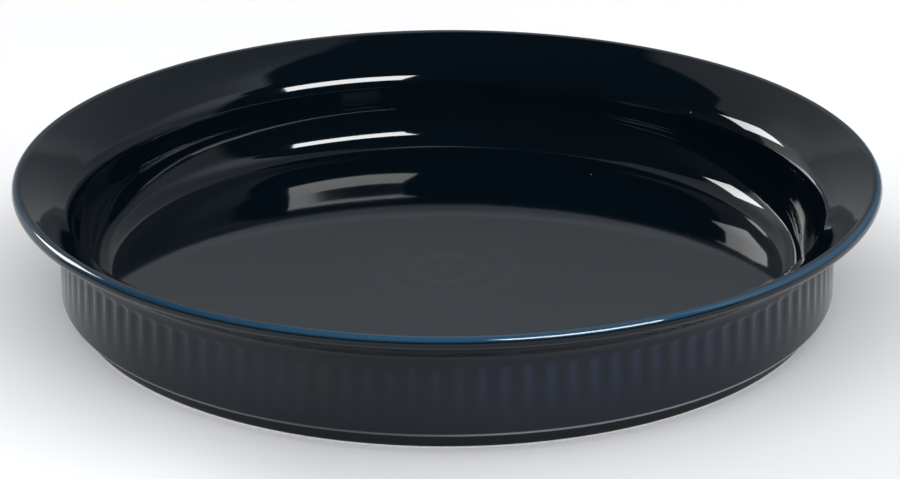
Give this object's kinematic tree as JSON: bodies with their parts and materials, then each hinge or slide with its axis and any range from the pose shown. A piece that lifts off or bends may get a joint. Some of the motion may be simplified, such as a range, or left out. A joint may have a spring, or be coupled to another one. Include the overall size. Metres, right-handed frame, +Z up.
{
  "type": "pie plate",
  "caption": "Round ceramic pie plate with a rising flange rim, steep-sided flat well, upright fluted outer wall and bare foot ring, under a dark navy gloss glaze.",
  "frame": {"origin": "middle of the foot ring, on the surface that the plate stands on", "axes": "+Z up along the plate's axis of revolution, X and Y level, with the crest of a flute on +X"},
  "size_m": [0.28, 0.28, 0.0442],
  "materials": {
    "fired_clay": "bare fired clay, matt and slightly gritty",
    "navy_glaze": "high gloss, almost black navy that breaks to a lighter blue where the glaze is thin"
  },
  "bodies": {
    "root": {"clay_body": "fired_clay", "navy_glaze_coat": "navy_glaze", "base_glaze": "navy_glaze"}
  },
  "joints": []
}
